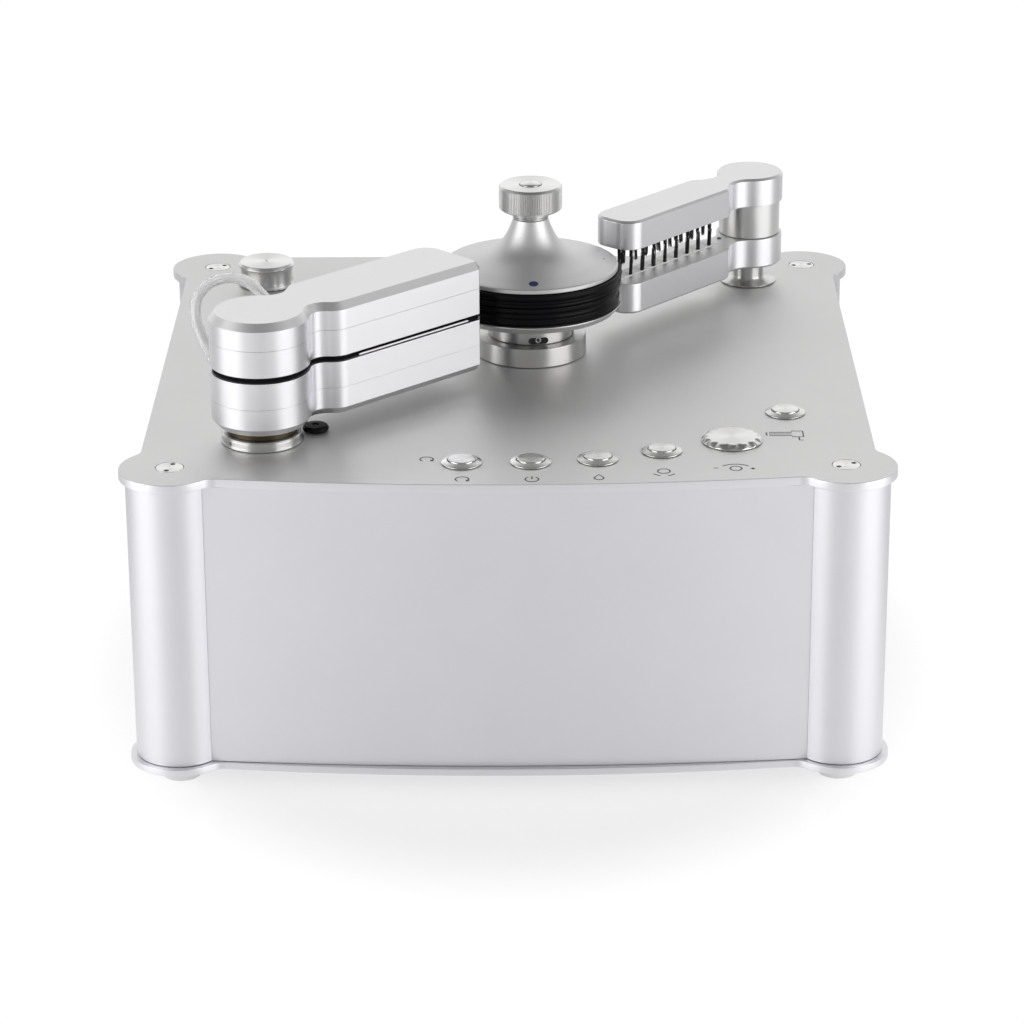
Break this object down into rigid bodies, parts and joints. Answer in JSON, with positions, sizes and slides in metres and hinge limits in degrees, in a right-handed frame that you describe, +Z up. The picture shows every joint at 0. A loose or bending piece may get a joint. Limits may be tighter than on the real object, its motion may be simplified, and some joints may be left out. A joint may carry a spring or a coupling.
{
  "type": "record cleaning machine",
  "caption": "Aluminium record cleaning machine: case on turned feet, belt-driven platter with clamp, swinging vacuum arm and brush arm, push buttons, speed knob and filler cap.",
  "frame": {"origin": "on the floor under the middle of the case, at the bottom centre of the bounding box", "axes": "+Z up, +X to the right and -Y towards the person at the buttons"},
  "size_m": [0.401, 0.385, 0.2719],
  "materials": {
    "satin_aluminium": "bead blasted and clear anodised",
    "bright_aluminium": "fine turned",
    "polished_steel": "polished and turned",
    "dark_steel": "blackened",
    "bronze": "oiled bearing bronze",
    "black_rubber": "matt",
    "black_velvet": "pile",
    "black_plastic": "moulded",
    "white_plastic": "turned",
    "brush_pad": "white pad with black bristle tufts",
    "clear_hose": "translucent silicone",
    "tank_plastic": "translucent moulded",
    "grey_metal": "zinc plated",
    "winding_tape": "winding tape",
    "board_green": "solder mask"
  },
  "bodies": {
    "case": {"arm_stop_bumper": "black_rubber", "bottom_plate": "satin_aluminium", "brush_arm_base": "polished_steel", "button_housings": "polished_steel", "column_front_left": "satin_aluminium", "column_front_right": "satin_aluminium", "column_rear_left": "satin_aluminium", "column_rear_right": "satin_aluminium", "control_board": "board_green", "drive_belt": "black_rubber", "fluid_pump": "black_plastic", "fluid_tank": "tank_plastic", "foot_front_left": "white_plastic", "foot_front_right": "white_plastic", "foot_rear_left": "white_plastic", "foot_rear_right": "white_plastic", "front_panel": "satin_aluminium", "left_side_panel": "satin_aluminium", "mains_inlet": "black_plastic", "platter_bearing_housing": "polished_steel", "platter_motor": "grey_metal", "rear_panel": "satin_aluminium", "right_side_panel": "satin_aluminium", "speed_potentiometer": "grey_metal", "top_plate": "satin_aluminium", "transformer": "winding_tape", "vacuum_arm_base": "polished_steel", "vacuum_arm_bush": "bronze", "vacuum_pump": "black_plastic", "waste_tank": "tank_plastic"},
    "platter": {"platter_spindle": "polished_steel", "platter_disc": "satin_aluminium", "platter_mat": "black_rubber", "driven_pulley": "satin_aluminium"},
    "motor_rotor": {"motor_pulley": "bronze"},
    "clamp": {"clamp_disc": "satin_aluminium", "clamp_seal": "black_rubber"},
    "clamp_knob": {"clamp_knob": "polished_steel"},
    "vacuum_arm": {"vacuum_arm_lower_cover": "bright_aluminium", "vacuum_arm_lower_block": "bright_aluminium", "vacuum_arm_lower_lips": "black_velvet", "vacuum_arm_guide_pin": "dark_steel"},
    "vacuum_upper_arm": {"vacuum_arm_upper_block": "bright_aluminium", "vacuum_arm_upper_cover": "bright_aluminium", "vacuum_arm_upper_lips": "black_velvet", "suction_hose": "clear_hose"},
    "brush_arm": {"brush_arm_lower": "bright_aluminium", "brush_arm_spacer": "bright_aluminium", "brush_arm_upper": "bright_aluminium", "lower_brush_strip": "brush_pad", "upper_brush_strip": "brush_pad"},
    "speed_knob": {"speed_knob": "polished_steel"},
    "filler_cap": {"filler_cap": "polished_steel"},
    "mains_rocker": {"mains_rocker": "black_plastic"},
    "drain_plug": {"drain_plug": "black_plastic"},
    "auto_button": {"auto_button": "polished_steel"},
    "power_button": {"power_button": "polished_steel"},
    "liquid_button": {"liquid_button": "polished_steel"},
    "platter_button": {"platter_button": "polished_steel"},
    "vacuum_button": {"vacuum_button": "polished_steel"}
  },
  "joints": [
    {"name": "platter_spin", "type": "hinge", "parent": "case", "child": "platter", "pos_m": [0.01241, 0.01303, 0.1738], "axis": [0, 0, 1], "continuous": true},
    {"name": "motor_pulley_spin", "type": "hinge", "parent": "case", "child": "motor_rotor", "pos_m": [0.01241, 0.10503, 0.1738], "axis": [0, 0, 1], "continuous": true},
    {"name": "clamp_lift", "type": "slide", "parent": "platter", "child": "clamp", "axis": [0, 0, 1], "range_m": [0, 0.04]},
    {"name": "clamp_knob_turn", "type": "hinge", "parent": "clamp", "child": "clamp_knob", "pos_m": [0.01241, 0.01303, 0.1738], "axis": [0, 0, 1], "range_deg": [0, 270]},
    {"name": "vacuum_arm_swing", "type": "hinge", "parent": "case", "child": "vacuum_arm", "pos_m": [-0.12879, -0.12545, 0.1738], "axis": [0, 0, 1], "range_deg": [0, 72]},
    {"name": "vacuum_upper_arm_lift", "type": "slide", "parent": "vacuum_arm", "child": "vacuum_upper_arm", "axis": [0, 0, 1], "range_m": [0, 0.005], "deforming": ["suction_hose"]},
    {"name": "brush_arm_swing", "type": "hinge", "parent": "case", "child": "brush_arm", "pos_m": [0.1405, 0.13742, 0.1738], "axis": [0, 0, 1], "range_deg": [0, 72]},
    {"name": "auto_button_press", "type": "slide", "parent": "case", "child": "auto_button", "axis": [0, 0, -1], "range_m": [0, 0.0012], "stiffness_N_per_m": 400, "springref_m": -0.001},
    {"name": "power_button_press", "type": "slide", "parent": "case", "child": "power_button", "axis": [0, 0, -1], "range_m": [0, 0.0012], "stiffness_N_per_m": 400, "springref_m": -0.001},
    {"name": "liquid_button_press", "type": "slide", "parent": "case", "child": "liquid_button", "axis": [0, 0, -1], "range_m": [0, 0.0012], "stiffness_N_per_m": 400, "springref_m": -0.001},
    {"name": "platter_button_press", "type": "slide", "parent": "case", "child": "platter_button", "axis": [0, 0, -1], "range_m": [0, 0.0012], "stiffness_N_per_m": 400, "springref_m": -0.001},
    {"name": "vacuum_button_press", "type": "slide", "parent": "case", "child": "vacuum_button", "axis": [0, 0, -1], "range_m": [0, 0.0012], "stiffness_N_per_m": 400, "springref_m": -0.001},
    {"name": "speed_knob_turn", "type": "hinge", "parent": "case", "child": "speed_knob", "pos_m": [0.117, -0.13059, 0.1738], "axis": [0, 0, 1], "range_deg": [-140, 140]},
    {"name": "filler_cap_lift", "type": "slide", "parent": "case", "child": "filler_cap", "axis": [0, 0, 1], "range_m": [0, 0.03]},
    {"name": "mains_rocker_tilt", "type": "hinge", "parent": "case", "child": "mains_rocker", "pos_m": [0.10997, 0.18127, 0.07923], "axis": [1, 0, 0], "range_deg": [-16, 0]},
    {"name": "drain_plug_pull", "type": "slide", "parent": "case", "child": "drain_plug", "axis": [0, 1, 0], "range_m": [0, 0.02]}
  ],
  "couplings": [
    {"joint": "motor_pulley_spin", "follows": "platter_spin", "ratio": 5}
  ]
}
